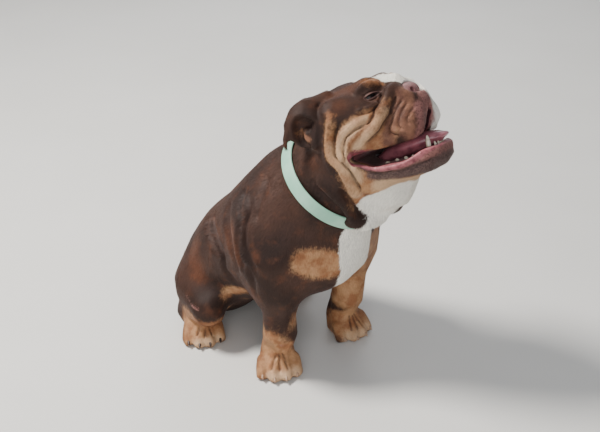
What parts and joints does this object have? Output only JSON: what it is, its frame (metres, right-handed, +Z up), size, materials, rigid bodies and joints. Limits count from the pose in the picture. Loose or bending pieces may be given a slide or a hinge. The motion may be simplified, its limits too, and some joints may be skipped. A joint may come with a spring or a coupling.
{
  "type": "english bulldog",
  "caption": "Life-size figure of a stocky short-coated dog sitting upright, head lifted and turned aside with the mouth open, wearing a plain flat collar.",
  "frame": {"origin": "middle of the bottom of the bounding box, on the floor under the paws and the rump", "axes": "+Z up, the trunk faces -Y, the dog's left side is +X"},
  "size_m": [0.298, 0.5258, 0.5165],
  "materials": {
    "coat": "short glossy coat, dark chocolate brown with white and tan markings",
    "tan_coat": "short coat, orange tan fading to pale at the toes",
    "lips": "freckled pink lip skin and pale chin",
    "nose": "moist liver-pink leathery pad",
    "tongue": "wet pink",
    "eye": "dark brown, clear and wet",
    "tooth": "ivory enamel",
    "claw": "dark horn, worn smooth",
    "strap": "plain pale mint green, smooth and matt",
    "metal": "plain polished steel"
  },
  "bodies": {
    "root": {"head": "coat", "lower_jaw": "lips", "neck": "coat", "trunk": "coat", "tail": "coat", "nose": "nose", "tongue": "tongue", "collar": "strap", "collar_buckle": "metal", "collar_ring": "metal", "ear_right": "coat", "eye_right": "eye", "canine_right": "tooth", "foreleg_right": "coat", "forepaw_right": "tan_coat", "hindleg_right": "coat", "hindpaw_right": "tan_coat", "ear_left": "coat", "eye_left": "eye", "canine_left": "tooth", "foreleg_left": "coat", "forepaw_left": "tan_coat", "hindleg_left": "coat", "hindpaw_left": "tan_coat", "claw_fore_right_1": "claw", "claw_fore_right_2": "claw", "claw_fore_right_3": "claw", "claw_fore_right_4": "claw", "claw_fore_left_1": "claw", "claw_fore_left_2": "claw", "claw_fore_left_3": "claw", "claw_fore_left_4": "claw", "claw_hind_right_1": "claw", "claw_hind_right_2": "claw", "claw_hind_right_3": "claw", "claw_hind_right_4": "claw", "claw_hind_left_1": "claw", "claw_hind_left_2": "claw", "claw_hind_left_3": "claw", "claw_hind_left_4": "claw"}
  },
  "joints": []
}
